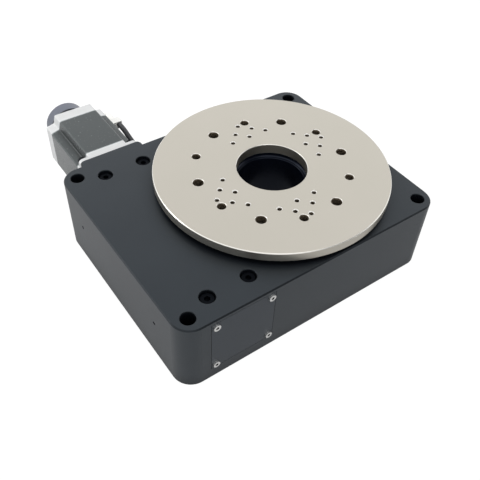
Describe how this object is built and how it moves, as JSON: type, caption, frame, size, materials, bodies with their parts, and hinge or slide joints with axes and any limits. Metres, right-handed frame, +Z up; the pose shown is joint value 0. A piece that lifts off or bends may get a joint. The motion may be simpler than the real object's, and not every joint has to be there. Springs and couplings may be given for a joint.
{
  "type": "motorized rotary stage",
  "caption": "Worm driven rotary stage: a round drilled table with a clear aperture turns on a low black base, driven by a stepper motor with a hand knob at its side.",
  "frame": {"origin": "on the table's axis, in the plane that the base stands on", "axes": "+Z up along the table's axis, +Y from the covered end of the worm towards the motor, +X away from the worm towards the short end of the base"},
  "size_m": [0.25, 0.3126, 0.0805],
  "materials": {
    "black_anodised": "fine bead blasted and black anodised",
    "table_metal": "satin nickel plated",
    "bearing_steel": "ground and polished",
    "dark_steel": "black oxide",
    "bright_steel": "turned, bright",
    "gear_bronze": "cut, oiled",
    "inner_aluminium": "machined",
    "motor_cast": "die cast, pale",
    "motor_laminations": "blackened laminations",
    "winding_copper": "enamelled wire",
    "knob_metal": "matte grey anodised",
    "spider_rubber": "matte",
    "cable_rubber": "matte",
    "black_plastic": "fine grain",
    "white_plastic": "plain"
  },
  "bodies": {
    "base": {"housing": "black_anodised", "bottom_cover": "black_anodised", "bottom_cover_screws": "dark_steel", "access_cover": "black_anodised", "access_cover_screws": "bright_steel", "mesh_set_screws": "dark_steel", "bearing_outer_ring": "bearing_steel", "bearing_clamp_ring": "black_anodised", "clamp_ring_screws": "dark_steel", "worm_carrier": "inner_aluminium", "worm_carrier_screws": "dark_steel", "worm_bearing_outer_front": "bearing_steel", "worm_bearing_outer_rear": "bearing_steel", "bearing_preload_ring": "inner_aluminium", "bearing_circlip": "dark_steel", "motor_front_bell": "motor_cast", "motor_stator": "motor_laminations", "motor_windings": "winding_copper", "motor_rear_bell": "motor_cast", "motor_tie_screws": "bright_steel", "motor_mounting_screws": "dark_steel", "motor_bearing_outer_front": "bearing_steel", "motor_bearing_outer_rear": "bearing_steel", "motor_connector": "white_plastic", "motor_plug": "black_plastic", "motor_cable": "cable_rubber", "cable_grommet": "cable_rubber", "control_socket": "bright_steel", "control_socket_screws": "bright_steel", "sensor_bracket": "inner_aluminium", "sensor_screws": "dark_steel", "home_sensor": "black_plastic"},
    "turntable": {"table": "table_metal", "table_screws": "dark_steel", "spindle": "dark_steel", "bearing_inner_ring": "bearing_steel", "worm_wheel": "gear_bronze", "wheel_screws": "dark_steel", "sensor_flag": "inner_aluminium", "flag_screw": "dark_steel"},
    "worm_drive": {"worm_shaft": "bright_steel", "worm_bearing_inner_front": "bearing_steel", "worm_bearing_inner_rear": "bearing_steel", "worm_lock_nut": "dark_steel", "coupling_hub_worm": "inner_aluminium", "coupling_spider": "spider_rubber", "coupling_hub_motor": "inner_aluminium", "motor_shaft": "bright_steel", "motor_rotor": "motor_laminations", "motor_bearing_inner_front": "bearing_steel", "motor_bearing_inner_rear": "bearing_steel", "hand_knob": "knob_metal", "knob_set_screw": "dark_steel"},
    "roller_set": {"bearing_rollers": "bearing_steel"}
  },
  "joints": [
    {"name": "table_spin", "type": "hinge", "parent": "base", "child": "turntable", "pos_m": [0, 0, 0], "axis": [0, 0, 1], "continuous": true},
    {"name": "worm_spin", "type": "hinge", "parent": "base", "child": "worm_drive", "pos_m": [-0.098, 0, 0.038], "axis": [0, 1, 0], "continuous": true},
    {"name": "rollers_orbit", "type": "hinge", "parent": "base", "child": "roller_set", "pos_m": [0, 0, 0], "axis": [0, 0, 1], "continuous": true}
  ],
  "couplings": [
    {"joint": "worm_spin", "follows": "table_spin", "ratio": 90},
    {"joint": "rollers_orbit", "follows": "table_spin", "ratio": 0.4802}
  ]
}
